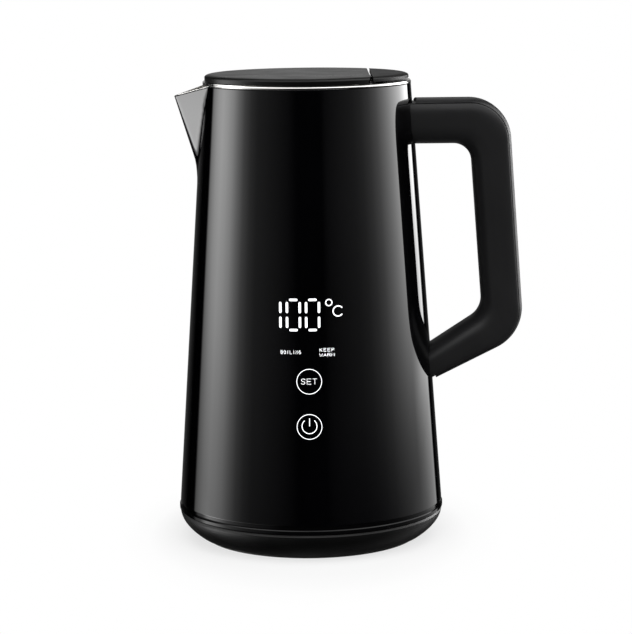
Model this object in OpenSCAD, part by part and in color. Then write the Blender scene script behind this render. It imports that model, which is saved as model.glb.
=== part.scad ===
// Cordless double-wall electric kettle with a V-shaped beak, a hinged lid and a power base.
// Millimetres. The origin is the body's axis at the table top, +Z up, -X the beak, +X the handle.

/* [Body] */
// Height from the table to the top of the lid
total_h = 250; // [235:1:270]
// Outer radius of the shell at its rim
rim_r = 55.4; // [50:0.2:60]
// Outer radius of the shell at its foot
foot_r = 71; // [64:0.2:76]
// Wall of the moulded outer shell
shell_t = 2.2; // [1.8:0.1:2.6]
// Air gap between the outer shell and the steel vessel
air_gap = 7.2; // [7:0.1:9]
// Wall of the steel vessel
vessel_t = 0.8; // [0.6:0.1:1.2]
// Height of the steel line under the lid
rim_line = 1.5; // [1:0.1:2]

/* [Power base] */
// Height of the power base
base_h = 15.5; // [15:0.1:17]
// Radius of the power base at its lower edge
base_foot_r = 61.5; // [56:0.1:64]
// Height of the rubber foot ring
foot_h = 2; // [1.5:0.1:2.4]
// Radius of the hole for the cord
cord_bore_r = 3.2; // [2.8:0.1:3.4]
// Seam between the kettle and its base
seam = 0.3; // [0.2:0.05:0.5]

/* [Lid] */
// Height of the flap's edge
flap_h = 3.5; // [3:0.1:4]
// Height of the release button's edge
button_h = 2.6; // [2.2:0.1:2.8]
// Where the flap ends and the button starts
chord_x = 33; // [30:0.1:36]
// How far the release button goes down
button_travel = 1.2; // [0.8:0.1:1.2]
// Radius of the lid's pivot pins
pin_r = 1.2; // [1:0.05:1.4]
// Radial running clearance of the pins
pin_play = 0.05; // [0.02:0.01:0.08]

/* [Beak] */
// How far the beak's tip stands from the axis
beak_reach = 70.4; // [66:0.1:72]
// How far the beak's tip is below the top of the lid
beak_drop = 11.4; // [8:0.1:16]
// Lean of the beak's ridge, outwards per unit of height
beak_lean = 0.31; // [0.24:0.01:0.4]
// Half the angle between the beak's two faces
beak_half = 43.4; // [38:0.1:50]
// Radius of the rounded ridge at the beak's tip
ridge_r = 3.2; // [2.6:0.1:4]
// How much the ridge's radius grows per unit of height going down
ridge_growth = 0.22; // [0.1:0.01:0.26]

/* [Handle] */
// How far the handle reaches from the axis, at its top corner
handle_reach = 107.1; // [100:0.1:112]
// Lean of the grip, outwards per unit going down
grip_lean = 0.066; // [0.04:0.002:0.1]
// How far the handle's top is below the lid's top
handle_drop = 13.9; // [12:0.1:18]
// Depth of the upper arm
arm_t = 24.1; // [20:0.1:26]
// Depth of the grip
grip_t = 21.8; // [18:0.1:24]
// Height of the grip's lower outer corner
handle_low = 109.5; // [96:0.1:114]
// Width of the handle
handle_w = 30; // [26:0.5:34]

/* [Controls] */
// Height of the numerals' middle
display_z = 129.6; // [124:0.1:134]
// Height of the upper touch key
set_z = 95.5; // [90:0.1:100]
// Height of the lower touch key
power_z = 72.1; // [68:0.1:76]

/* [Hidden] */

eps = 0.01;
fine = 96;
round_fn = 48;
wire_fn = 6;

// Heights, from the lid down.
flap_z = total_h - flap_h;
button_z = total_h - button_h;
button_gap = 1.3;
rim_z = button_z - button_gap;
shell_top = rim_z - rim_line;
ring_h = 2.5;
groove_h = 2;
shell_z = base_h + ring_h + groove_h;
slope = (foot_r - rim_r) / (shell_top - shell_z);
wall_gap = shell_t + air_gap;
vessel_in = wall_gap + vessel_t;

// The shell's outer radius at a height.
function shell_r(z) = rim_r + (shell_top - z) * slope;

// Underside of the kettle and the connector.
socket_r = 19;
socket_floor = 8;
socket_top = 24;
collar_in = 20.5;
collar_out = 22.5;
cover_t = 2;
ring_in = 9.6;
ring_out = 12.9;
slot_in = 9;
slot_out = 13.5;
contact_t = 0.8;
shutter_z = 10;
shutter_top = 14;
shutter_play = 0.05;
cup_in = 2.6;
cup_out = 3.8;
plate_z = 40;
plate_t = 3;
plate_r = 50;
floor_z = plate_z + plate_t;
coupler_r = 28;
coupler_top = 36;
element_r = 38;
element_tube = 3.4;
sensor_x = -46;
sensor_r = 2.5;
post_r = foot_r - 10;
post_turn = 30;
screw_r = 1.5;
screw_head_r = 2.8;
screw_head_t = 0.8;
slot_w = 0.8;
slot_depth = 0.4;
screw_len = 14;
board_z = 27;
board_t = 1.6;
board_in = 34;

// Power base.
base_top = base_h - seam;
base_t = 2.2;
base_r = foot_r;
base_plate_t = 2;
base_plate_top = foot_h + base_plate_t;
base_plate_r = base_foot_r - 2.6;
base_roof = base_top - base_t;
base_boss_r = base_foot_r - 11.5;
base_wall = 2.4;
side_parts = 10;
base_screw_r = 1.25;
base_head_r = 2.6;
gland_r = 4.4;
gland_z = 8.6;
gland_out = foot_r - 1;
gland_in = gland_out - 10;
socket_hole_r = 19.1;

// Lid.
lid_r = rim_r - 1.2;
lid_edge_w = 4;
lid_edge_h = 1.5;
vessel_lip_r = rim_r - 10.1;
plug_r = vessel_lip_r - 1;
plug_z = flap_z - 5.5;
plug_flange_r = rim_r - 3.8;
plug_flange_t = 2;
plug_rear = 27;
lid_screw_ring = 34;
lid_screw_r = 1.05;
lid_head_r = 2.2;
lid_head_t = 0.9;
hinge_back = 1.8;
hinge_drop = 2.6;
hinge_x = chord_x - hinge_back;
hinge_z = total_h - hinge_drop;
flap_sweep_r = norm([hinge_back, hinge_drop]);
button_sweep_r = flap_sweep_r + 0.15;
undercut = 1.3;
post_in = 22;
post_out = post_in + 4;
knuckle_in = post_in - 3;
knuckle_out = post_out + 3;
spring_len = 3.4;
post_half = 1.8;
knuckle_r = 2;
housing_front = 34.3;
housing_top = rim_z - 2.5;
housing_floor = rim_z - 12.1;
housing_floor_t = 3;
housing_wall = 1.6;
stem_x = 39.5;
stem_y = 12;
stem_r = 2.4;
guide_play = 0.15;

// Beak.
beak_tip_z = total_h - beak_drop;
beak_low = beak_tip_z - 46;
beak_back = -30;
channel_low = beak_low + 8;
ridge_steps = 12;
mouth_rise = 0.31;
beak_skin = 1.8;
lip_t = 0.6;
lip_gap = 0.15;

// Handle.
handle_z = total_h - handle_drop;
half_w = handle_w / 2;
top_corner_r = 22;
top_inner_r = 10;
low_corner_r = 24;
low_inner_r = 12;
low_slope = 0.491;
inner_slope = 0.65;
inner_low = handle_low + 12.7;
inner_lean = grip_lean + 0.003;
split = 2;
wall_y = 5;
tongue = 2;
roundness = 0.5;
arc_steps = 7;
side_steps = 22;
cap_steps = 12;
screw_top_z = handle_z - 12.4;
screw_low_z = handle_low - 10.9;
handle_screw_r = 2;
handle_head_r = 3.8;
handle_head_t = 2;
handle_screw_len = 15;

// ---- Shared shapes ----

// A tube about Z.
module tube(inner, outer, z0, z1) {
    translate([0, 0, z0])
    difference() {
        cylinder(r = outer, h = z1 - z0, $fn = fine);
        translate([0, 0, -1])
        cylinder(r = inner, h = z1 - z0 + 2, $fn = fine);
    }
}

// A solid following the shell's cone, inset from its outer face, between two heights.
module body_cone(inset, z0, z1) {
    translate([0, 0, z0])
    cylinder(r1 = shell_r(z0) - inset, r2 = shell_r(z1) - inset, h = z1 - z0, $fn = fine);
}

// Copies around Z.
module around(count, radius, first) {
    for (i = [0 : count - 1])
    rotate([0, 0, first + i * 360 / count])
    translate([radius, 0, 0])
    children();
}

// Faces of a swept strip of closed sections.
function sweep_faces(sections, points) = concat(
    [[for (k = [points - 1 : -1 : 0]) k]],
    [for (s = [0 : sections - 2]) for (k = [0 : points - 1])
        [s * points + k, s * points + (k + 1) % points, (s + 1) * points + k]],
    [for (s = [0 : sections - 2]) for (k = [0 : points - 1])
        [s * points + (k + 1) % points, (s + 1) * points + (k + 1) % points, (s + 1) * points + k]],
    [[for (k = [0 : points - 1]) (sections - 1) * points + k]]);

// The slot across a screw's head, cut upwards from its underside at height z.
module screw_slot(head_r, z) {
    translate([-head_r * 0.7, -slot_w / 2, z - 1])
    cube([head_r * 1.4, slot_w, slot_depth + 1]);
}

// A coil spring about Z, from z = 0 to z = height.
module coil(radius, wire, height, turns, steps) {
    rise = height - 2 * wire;
    count = turns * steps;
    points = [for (i = [0 : count]) for (k = [0 : wire_fn - 1])
        let (a = 360 * i / steps, b = 360 * k / wire_fn, r = radius + wire * cos(b))
        [r * cos(a), r * sin(a), wire + rise * i / count + wire * sin(b)]];
    polyhedron(points = points, faces = sweep_faces(count + 1, wire_fn));
}

// ---- Beak ----

// The ridge's distance from the axis, and its radius, at a height.
function ridge(z) = beak_reach + (z - beak_tip_z) * beak_lean;
function ridge_round(z) = ridge_r + (beak_tip_z - z) * ridge_growth;

// Outline of the beak at a height, its faces moved inwards by inset: an arc round the ridge and two straight
// sides back to beak_back. Where the arc is used up, the sides meet in a corner.
function beak_outline(inset, z) = let (
        r = max(ridge_round(z) - inset, 0.02),
        c = ridge(z) - ridge_round(z) - max(inset - ridge_round(z), 0) / sin(beak_half),
        turn = 90 - beak_half,
        side_y = (c + beak_back) * tan(beak_half) + r / cos(beak_half))
    concat(
        [[beak_back, -side_y, z]],
        [for (k = [0 : ridge_steps]) let (a = turn * (2 * k / ridge_steps - 1))
            [-c - r * cos(a), r * sin(a), z]],
        [[beak_back, side_y, z]]);

// The solid of the beak between beak_low and top.
module beak_wedge(inset, top) {
    sections = [beak_outline(inset, beak_low), beak_outline(inset, top)];
    polyhedron(points = concat(sections[0], sections[1]), faces = sweep_faces(2, len(sections[0])));
}

// Everything above the beak's sloping mouth.
module above_mouth() {
    translate([-beak_reach, 0, beak_tip_z])
    rotate([0, -atan(mouth_rise), 0])
    translate([-20, -60, 0])
    cube([120, 120, 60]);
}

// The part of the beak that stands outside the body, with its faces moved inwards by inset.
module beak_solid(inset) {
    difference() {
        beak_wedge(inset, shell_top);
        above_mouth();
    }
}

// ---- Kettle body ----

// A screw hole along +X through the shell's wall into the handle.
module handle_hole(z, radius) {
    translate([handle_head_x(z), 0, z])
    rotate([0, 90, 0])
    cylinder(r = radius, h = handle_screw_len + 0.4, $fn = round_fn);
}

// Where a handle screw's head starts: it bears on the inside of the shell's wall.
function handle_head_x(z) = shell_r(z + handle_head_r) - shell_t - handle_head_t - 0.4;

module outer_shell() {
    color([0.02, 0.02, 0.025])
    difference() {
        union() {
            body_cone(0, shell_z, shell_top);
            beak_solid(0);
            around(3, post_r, post_turn)
            translate([0, 0, shell_z + 5])
            cylinder(r = 3, h = 2, $fn = round_fn);
        }
        difference() {
            body_cone(shell_t, shell_z - 1, shell_top + 1);
            around(3, post_r, post_turn)
            difference() {
                translate([-4, -4, shell_z + 5])
                cube([14, 8, 13]);
                translate([0, 0, shell_z])
                cylinder(r = screw_r, h = 16, $fn = round_fn);
            }
        }
        intersection() {
            beak_wedge(beak_skin, shell_top + 2);
            translate([-90, -60, beak_low + 3])
            cube([60, 120, 60]);
        }
        for (z = [screw_low_z, screw_top_z])
        handle_hole(z, handle_screw_r + 0.1);
    }
}

// The water's way into the beak.
module spout_channel() {
    intersection() {
        beak_wedge(beak_skin + lip_gap + lip_t, shell_top + 2);
        translate([-90, -60, channel_low])
        cube([70, 120, shell_top - channel_low]);
    }
}

module inner_vessel() {
    color([0.8, 0.8, 0.8])
    difference() {
        body_cone(wall_gap, floor_z, shell_top);
        body_cone(vessel_in, floor_z + vessel_t, shell_top + 1);
        spout_channel();
        translate([sensor_x, 0, floor_z - 2])
        cylinder(r = sensor_r + 0.1, h = 6, $fn = round_fn);
    }
}

module spout_liner() {
    color([0.82, 0.82, 0.82])
    difference() {
        union() {
            tube(vessel_lip_r - 5, rim_r - 0.2, shell_top, rim_z);
            intersection() {
                beak_solid(beak_skin + lip_gap);
                translate([-90, -60, channel_low - 5])
                cube([60, 120, shell_top - channel_low + 5.5]);
            }
        }
        body_cone(wall_gap, floor_z, shell_top);
        translate([0, 0, shell_top - 2])
        cylinder(r = vessel_lip_r, h = 10, $fn = fine);
        spout_channel();
    }
}

module bottom_cover() {
    color([0.03, 0.03, 0.03])
    difference() {
        rotate_extrude($fn = fine)
        polygon([[collar_in, base_h], [foot_r - 0.4, base_h], [foot_r + 0.5, base_h + 0.5],
            [foot_r + 0.5, base_h + ring_h - 0.4], [foot_r, base_h + ring_h], [foot_r - 0.8, base_h + ring_h],
            [foot_r - 0.8, shell_z], [foot_r - shell_t - 0.3, shell_z], [foot_r - shell_t - 0.5, shell_z + 4],
            [foot_r - shell_t - 2.3, shell_z + 4], [foot_r - shell_t - 2.3, base_h + cover_t],
            [collar_out, base_h + cover_t], [collar_out, socket_top - 0.3], [collar_in, socket_top - 0.3]]);
        around(3, post_r, post_turn)
        translate([0, 0, base_h - 1])
        cylinder(r = screw_r + 0.2, h = 8, $fn = round_fn);
        around(3, post_r, post_turn)
        translate([0, 0, base_h - 1])
        cylinder(r = screw_head_r + 0.2, h = 2, $fn = round_fn);
    }
}

module body_screws() {
    color([0.6, 0.6, 0.6])
    around(3, post_r, post_turn)
    difference() {
        union() {
            translate([0, 0, base_h + 0.1])
            cylinder(r = screw_head_r, h = screw_head_t, $fn = round_fn);
            translate([0, 0, base_h + 0.2])
            cylinder(r = screw_r, h = screw_len, $fn = round_fn);
        }
        screw_slot(screw_head_r, base_h + 0.1);
    }
}

module heating_plate() {
    color([0.75, 0.75, 0.75])
    difference() {
        tube(0.01, plate_r, plate_z, floor_z);
        translate([sensor_x, 0, plate_z - 1])
        cylinder(r = sensor_r + 0.1, h = plate_t + 2, $fn = round_fn);
    }
}

module heating_element() {
    color([0.55, 0.55, 0.55])
    union() {
        translate([0, 0, plate_z - element_tube])
        rotate([0, 0, 30])
        rotate_extrude(angle = 300, $fn = fine)
        translate([element_r, 0])
        circle(r = element_tube, $fn = round_fn);
        for (a = [31, 329])
        rotate([0, 0, a])
        translate([element_r, 0, plate_z - element_tube - 8])
        cylinder(r = 1.6, h = 8, $fn = round_fn);
    }
}

module coupler() {
    color([0.08, 0.08, 0.08])
    union() {
        difference() {
            cylinder_from(coupler_r, socket_top, coupler_top);
            translate([0, 0, socket_top - 1])
            cylinder(r = sensor_r, h = 9, $fn = round_fn);
        }
        tube(ring_in, ring_out, shutter_top, socket_top);
        around(3, 22, 0)
        translate([0, 0, coupler_top])
        cylinder(r = 3, h = plate_z - coupler_top, $fn = round_fn);
    }
}

module cylinder_from(radius, z0, z1) {
    translate([0, 0, z0])
    cylinder(r = radius, h = z1 - z0, $fn = fine);
}

module coupler_pin() {
    color([0.8, 0.65, 0.3])
    union() {
        cylinder_from(sensor_r, 11.5, socket_top + 8);
        translate([0, 0, 10.5])
        cylinder(r1 = sensor_r - 1, r2 = sensor_r, h = 1, $fn = fine);
    }
}

module coupler_ring() {
    color([0.8, 0.65, 0.3])
    tube(ring_out, ring_out + 0.35, shutter_top + 2, socket_top);
}

module temperature_sensor() {
    color([0.7, 0.7, 0.72])
    translate([sensor_x, 0, 0])
    union() {
        translate([0, 0, plate_z - 6])
        cylinder(r = sensor_r, h = 18, $fn = round_fn);
        translate([0, 0, plate_z + 12])
        sphere(r = sensor_r, $fn = round_fn);
        translate([0, 0, floor_z + vessel_t])
        cylinder(r = sensor_r + 1.6, h = 1.2, $fn = round_fn);
    }
}

module control_board() {
    color([0.1, 0.35, 0.2])
    union() {
        rotate([0, 0, -125])
        rotate_extrude(angle = 70, $fn = fine)
        translate([board_in, board_z])
        square([post_r - 5.5 - board_in, board_t]);
        translate([-8, -board_in - 18, board_z + board_t - 0.1])
        cube([14, 10, 4]);
        translate([14, -board_in - 12, board_z + board_t - 0.1])
        cylinder(r = 3, h = 4.5, $fn = round_fn);
    }
}

// The flat display board leans with the wall, just outside the vessel.
board_low = power_z - 8;
board_high = display_z + 14;
board_y = shell_r(board_high) - wall_gap + 1.2;
board_lean = atan(slope);

module on_board() {
    translate([0, -board_y, board_high])
    rotate([-board_lean, 0, 0])
    children();
}

module display_frame() {
    color([0.15, 0.15, 0.15])
    difference() {
        rotate([0, 0, -108])
        rotate_extrude(angle = 36, $fn = fine)
        polygon([[shell_r(board_low) - shell_t, board_low], [shell_r(board_high) - shell_t, board_high],
            [shell_r(board_high) - shell_t - 2, board_high], [shell_r(board_low) - shell_t - 2, board_low]]);
        for (x = [-13.4, -3.5, 6])
        translate([x - 4.4, -80, display_z - 9.5])
        cube([8.8, 40, 19]);
        translate([10.8, -80, display_z - 1.5])
        cube([6, 40, 10]);
        for (x = [-15, 4.5])
        translate([x, -80, display_z - 22])
        cube([10.5, 40, 5.6]);
        for (z = [set_z, power_z])
        translate([-0.4, -40, z])
        rotate([90, 0, 0])
        cylinder(r = 6, h = 40, $fn = round_fn);
    }
}

module display_board() {
    color([0.1, 0.3, 0.2])
    on_board()
    difference() {
        translate([-17, -1.2, board_low - board_high])
        cube([34, 1.2, (board_high - board_low) / cos(board_lean) - 1]);
        for (x = [-14.5, 14.5])
        translate([x, 1, -12])
        rotate([90, 0, 0])
        cylinder(r = 1.3, h = 4, $fn = round_fn);
    }
}

module touch_springs() {
    color([0.8, 0.8, 0.75])
    for (z = [set_z, power_z])
    on_board()
    translate([-0.4, -1.25, z - board_high])
    rotate([90, 0, 0])
    coil(4.2, 0.4, 3.9, 3, 16);
}

// ---- Handle ----

// Corner points of the side outline, outer and inner.
outer_x = function (z) handle_reach + (handle_z - z) * grip_lean;
low_x = outer_x(handle_low);
inner_top = handle_z - arm_t;
inner_x = function (z) handle_reach - grip_t + (handle_z - z) * inner_lean;
inner_low_x = inner_x(inner_low);

// Unit vector and rounded corner through a point, from direction a to direction b.
function unit(v) = v / norm(v);
function corner(p, a, b, r) = let (turn = acos(a * b), t = r * tan(turn / 2), c = p - a * t
        + r * unit(b - a * (a * b)), start = p - a * t - c)
    [for (i = [0 : arc_steps]) let (g = turn * i / arc_steps) c + start * cos(g) + r * a * sin(g)];

dir_out = [1, 0];
dir_down = unit([grip_lean, -1]);
dir_in_down = unit([grip_lean - 0.006, -1]);
dir_low = unit([-1, -low_slope]);
dir_inner = unit([-1, -inner_slope]);

outer_line = concat(
    [[rim_r - 9, handle_z]],
    corner([handle_reach, handle_z], dir_out, dir_down, top_corner_r),
    corner([low_x, handle_low], dir_down, dir_low, low_corner_r),
    [[low_x - 62, handle_low - 62 * low_slope]]);
inner_line = concat(
    [[rim_r - 9, inner_top]],
    corner([inner_x(inner_top), inner_top], dir_out, dir_in_down, top_inner_r),
    corner([inner_low_x, inner_low], dir_in_down, dir_inner, low_inner_r),
    [[inner_low_x - 46, inner_low - 46 * inner_slope]]);
stations = len(outer_line);

// A point of a section: depth is measured from the outer line towards the inner one.
function station_point(s, depth, y) = let (o = outer_line[s], i = inner_line[s], t = norm(i - o),
        p = o + (i - o) * depth / t) [p[0], y, p[1]];
function station_t(s) = norm(inner_line[s] - outer_line[s]);
function soft(v) = sign(v) * pow(abs(v), roundness);
function split_angle(s) = acos(pow(1 - 2 * split / station_t(s), 1 / roundness));

// Points of the superellipse section between two angles, angle 0 at the outer face.
function section_arc(s, a0, a1, steps) = [for (k = [0 : steps]) let (a = a0 + (a1 - a0) * k / steps,
        h = station_t(s) / 2) station_point(s, h - h * soft(cos(a)), half_w * soft(sin(a)))];

function shell_section(s) = let (a = split_angle(s)) section_arc(s, a, 360 - a, side_steps);

function hollow_section(s) = let (y = half_w - wall_y, d = station_t(s) - wall_y) [station_point(s, split - 1, y),
    station_point(s, d, y), station_point(s, d, -y), station_point(s, split - 1, -y)];

function cover_section(s) = let (a = split_angle(s)) section_arc(s, -a, a, cap_steps);

function tongue_section(s) = let (y = half_w - wall_y - 0.2, d = split + tongue) [station_point(s, split - 0.5, y),
    station_point(s, d, y), station_point(s, d, -y), station_point(s, split - 0.5, -y)];

module handle_sweep(sections) {
    count = len(sections[0]);
    polyhedron(points = [for (s = sections) for (p = s) p], faces = sweep_faces(len(sections), count));
}

module handle_shell() {
    color([0.05, 0.05, 0.05])
    difference() {
        handle_sweep([for (s = [0 : stations - 1]) shell_section(s)]);
        difference() {
            handle_sweep([for (s = [0 : stations - 1]) hollow_section(s)]);
            translate([rim_r - 9.5, -half_w, inner_top + 1])
            cube([22, handle_w, arm_t - wall_y]);
            translate([rim_r + 2, -half_w, screw_low_z - 4])
            cube([20, handle_w, 8]);
        }
        body_cone(0, shell_z, shell_top);
        for (z = [screw_low_z, screw_top_z])
        handle_hole(z, handle_screw_r);
    }
}

module handle_cover() {
    color([0.06, 0.06, 0.06])
    difference() {
        union() {
            handle_sweep([for (s = [0 : stations - 1]) cover_section(s)]);
            handle_sweep([for (s = [0 : stations - 1]) tongue_section(s)]);
        }
        body_cone(-2.5, shell_z, shell_top + 1);
    }
}

module handle_screws() {
    color([0.7, 0.7, 0.7])
    for (z = [screw_low_z, screw_top_z])
    translate([handle_head_x(z), 0, z])
    rotate([0, 90, 0])
    union() {
        cylinder(r = handle_head_r, h = handle_head_t, $fn = round_fn);
        cylinder(r = handle_screw_r, h = handle_screw_len, $fn = round_fn);
    }
}

// ---- Hinge and lid ----

// Everything behind a plane x = from.
module behind(from) {
    translate([from, -80, total_h - 60])
    cube([100, 160, 100]);
}

// A bar along Y through the lid's pivot axis.
module pivot_bar(radius, y0, y1) {
    translate([hinge_x, y1, hinge_z])
    rotate([90, 0, 0])
    cylinder(r = radius, h = y1 - y0, $fn = round_fn);
}

module hinge_housing() {
    color([0.07, 0.07, 0.07])
    difference() {
        union() {
            intersection() {
                body_cone(vessel_in, housing_floor, housing_floor + housing_floor_t);
                translate([hinge_x - 6, -knuckle_out, 0])
                cube([60, 2 * knuckle_out, total_h]);
            }
            intersection() {
                difference() {
                    body_cone(vessel_in, housing_floor, housing_top);
                    intersection() {
                        body_cone(vessel_in + housing_wall, housing_floor + housing_floor_t, housing_top - 1.6);
                        behind(housing_front + housing_wall);
                    }
                }
                behind(housing_front);
            }
            for (side = [-1, 1])
            scale([1, side, 1])
            union() {
                translate([hinge_x - post_half, post_in, housing_floor + 1])
                cube([2 * post_half, post_out - post_in, hinge_z - housing_floor - 1]);
                pivot_bar(post_half, post_in, post_out);
            }
        }
        for (side = [-1, 1])
        scale([1, side, 1])
        union() {
            pivot_bar(pin_r + pin_play, post_in - 1, post_out + 1);
            translate([stem_x, stem_y, housing_floor + 4])
            cylinder(r = stem_r + guide_play, h = 20, $fn = round_fn);
        }
    }
}

module lid_catch() {
    color([0.75, 0.75, 0.75])
    translate([housing_front - 0.6, -6, housing_floor + housing_floor_t])
    union() {
        cube([0.6, 12, 4]);
        translate([-1.4, 0, 3.4])
        cube([1.5, 12, 0.6]);
    }
}

// A disc with a wide rounded upper edge, from a height up to the lid's top.
module lid_disc(z0) {
    rotate_extrude($fn = fine)
    polygon(concat(
        [[0, z0], [lid_r, z0]],
        [for (a = [0 : 15 : 90]) [lid_r - lid_edge_w * (1 - cos(a)), total_h - lid_edge_h * (1 - sin(a))]],
        [[0, total_h]]));
}

module lid_cover() {
    color([0.1, 0.1, 0.1])
    difference() {
        union() {
            difference() {
                lid_disc(flap_z);
                translate([0, 0, flap_z - 1])
                difference() {
                    cylinder(r = plug_flange_r + 0.2, h = plug_flange_t + 1.2, $fn = fine);
                    behind(plug_rear + 0.2);
                }
                difference() {
                    behind(hinge_x);
                    pivot_bar(flap_sweep_r, -70, 70);
                }
                translate([chord_x, -80, total_h])
                rotate([0, atan(undercut / flap_h), 0])
                translate([0, 0, -20])
                cube([20, 160, 25]);
            }
            for (side = [-1, 1])
            scale([1, side, 1])
            union() {
                pivot_bar(knuckle_r, knuckle_in, post_in - 0.3);
                pivot_bar(knuckle_r, post_out + 0.3, knuckle_out);
            }
        }
        for (side = [-1, 1])
        scale([1, side, 1])
        union() {
            pivot_bar(pin_r, knuckle_in - 5, knuckle_out + 0.5);
            pivot_bar(knuckle_r + 0.1, knuckle_in - spring_len - 0.6, knuckle_in);
            pivot_bar(knuckle_r + 0.1, post_in - 0.3, post_out + 0.3);
            translate([hinge_x - knuckle_r - 0.1, post_in - 0.3, flap_z - 5])
            cube([20, post_out - post_in + 0.6, hinge_z - flap_z + 5 + knuckle_r]);
        }
        around(3, lid_screw_ring, 60)
        translate([0, 0, flap_z - 1])
        cylinder(r = lid_screw_r + 0.05, h = plug_flange_t + 2, $fn = round_fn);
    }
}

module lid_plug() {
    color([0.78, 0.78, 0.78])
    difference() {
        union() {
            translate([0, 0, flap_z])
            cylinder(r = plug_flange_r, h = plug_flange_t, $fn = fine);
            cylinder_from(plug_r - 1.2, plug_z, flap_z + 0.1);
            tube(plug_r - 2, plug_r, plug_z, plug_z + 1);
            tube(plug_r - 2, plug_r, plug_z + 3, plug_z + 4);
        }
        translate([0, 0, plug_z + 1])
        cylinder(r = plug_r - 2.4, h = flap_z - plug_z - 1, $fn = fine);
        behind(plug_rear);
        around(3, lid_screw_ring, 60)
        translate([0, 0, plug_z - 1])
        cylinder(r = lid_screw_r + 0.25, h = 12, $fn = round_fn);
    }
}

module lid_gasket() {
    color([0.75, 0.75, 0.72])
    difference() {
        tube(plug_r - 1.2, plug_r + 0.6, plug_z + 1, plug_z + 3);
        behind(plug_rear);
    }
}

module lid_pins() {
    color([0.8, 0.8, 0.8])
    for (side = [-1, 1])
    scale([1, side, 1])
    pivot_bar(pin_r, knuckle_in - spring_len - 0.8, knuckle_out);
}

module lid_spring() {
    color([0.7, 0.7, 0.7])
    for (side = [-1, 1])
    translate([hinge_x, side > 0 ? knuckle_in - 0.3 : 0.3 - knuckle_in + spring_len, hinge_z])
    rotate([90, 0, 0])
    coil(pin_r + 0.4, 0.3, spring_len, 4, 12);
}

module lid_screws() {
    color([0.7, 0.7, 0.7])
    around(3, lid_screw_ring, 60)
    difference() {
        union() {
            translate([0, 0, plug_z - lid_head_t])
            cylinder(r = lid_head_r, h = lid_head_t, $fn = round_fn);
            translate([0, 0, plug_z - 0.1])
            cylinder(r = lid_screw_r, h = flap_z - plug_z + plug_flange_t, $fn = round_fn);
        }
        screw_slot(lid_head_r, plug_z - lid_head_t);
    }
}

module lid_button() {
    color([0.09, 0.09, 0.09])
    difference() {
        union() {
            difference() {
                intersection() {
                    lid_disc(flap_z);
                    cylinder_from(lid_r + 1, button_z, total_h + 1);
                }
                translate([0, 0, button_z - 1])
                intersection() {
                    cylinder(r = lid_r - 2.4, h = 2, $fn = fine);
                    translate([hinge_x + button_sweep_r + 1.6, -60, 0])
                    cube([60, 120, 2]);
                }
            }
            for (side = [-1, 1])
            translate([stem_x, side * stem_y, housing_floor + 7])
            cylinder(r = stem_r, h = total_h - 1 - housing_floor - 7, $fn = round_fn);
        }
        translate([-100, -80, button_z - 4])
        cube([100 + hinge_x, 160, 20]);
        pivot_bar(button_sweep_r, -70, 70);
        translate([0, 0, button_travel])
        pivot_bar(button_sweep_r, -70, 70);
        translate([hinge_x, -70, hinge_z])
        cube([button_sweep_r, 140, button_travel]);
    }
}

module button_springs() {
    color([0.7, 0.7, 0.7])
    for (side = [-1, 1])
    translate([stem_x, side * stem_y, housing_floor + 4.1])
    coil(1.7, 0.25, 1.7, 2, 12);
}

// ---- Power base ----

// A point of the base's convex side, from its foot at t = 0 to its top edge at t = 1, moved inwards by inset.
function base_side(t, inset) = let (
        w = base_r - base_foot_r,
        h = base_top - 1 - foot_h,
        bend = [base_foot_r + 0.92 * w, foot_h + 0.5 * h])
    (1 - t) * (1 - t) * [base_foot_r, foot_h] + 2 * t * (1 - t) * bend + t * t * [base_r, foot_h + h]
    - [inset, 0];

module base_shell() {
    color([0.08, 0.08, 0.08])
    difference() {
        union() {
            rotate_extrude($fn = fine)
            polygon(concat(
                [for (k = [0 : side_parts]) base_side(k / side_parts, 0)],
                [[base_r - 0.5, base_top], [socket_hole_r, base_top], [socket_hole_r, base_roof]],
                [for (k = [side_parts - 1 : -1 : 0]) base_side(k / side_parts, base_wall)]));
            around(4, base_boss_r, 45)
            translate([0, 0, base_plate_top])
            cylinder(r = 3.2, h = base_roof - base_plate_top + 0.1, $fn = round_fn);
        }
        around(4, base_boss_r, 45)
        translate([0, 0, base_plate_top - 1])
        cylinder(r = base_screw_r + 0.05, h = 7, $fn = round_fn);
        translate([0, gland_out + 8, gland_z])
        rotate([90, 0, 0])
        cylinder(r = gland_r, h = 24, $fn = round_fn);
    }
}

module base_plate() {
    color([0.06, 0.06, 0.06])
    difference() {
        cylinder_from(base_plate_r, foot_h, base_plate_top);
        around(4, base_boss_r, 45)
        translate([0, 0, foot_h - 1])
        cylinder(r = base_screw_r + 0.25, h = 5, $fn = round_fn);
        around(4, base_boss_r, 45)
        translate([0, 0, foot_h - 1])
        cylinder(r = base_head_r + 0.2, h = 2, $fn = round_fn);
    }
}

module foot_ring() {
    color([0.03, 0.03, 0.03])
    tube(base_foot_r - 7, base_foot_r - 3.5, 0, foot_h);
}

module base_screws() {
    color([0.6, 0.6, 0.6])
    around(4, base_boss_r, 45)
    difference() {
        union() {
            translate([0, 0, foot_h + 0.1])
            cylinder(r = base_head_r, h = 0.9, $fn = round_fn);
            translate([0, 0, foot_h + 0.2])
            cylinder(r = base_screw_r, h = 7, $fn = round_fn);
        }
        screw_slot(base_head_r, foot_h + 0.1);
    }
}

module base_socket() {
    color([0.05, 0.05, 0.05])
    union() {
        cylinder_from(socket_r, base_plate_top, socket_floor);
        tube(slot_out + contact_t, socket_r, socket_floor, socket_top);
        tube(slot_out, slot_out + contact_t, socket_floor, shutter_top + 1);
        tube(slot_out, slot_out + contact_t, socket_top - 2, socket_top);
        tube(cup_out, slot_in, socket_floor, socket_top);
        tube(socket_r, socket_r + 3, base_roof - 2.5, base_roof);
    }
}

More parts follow.
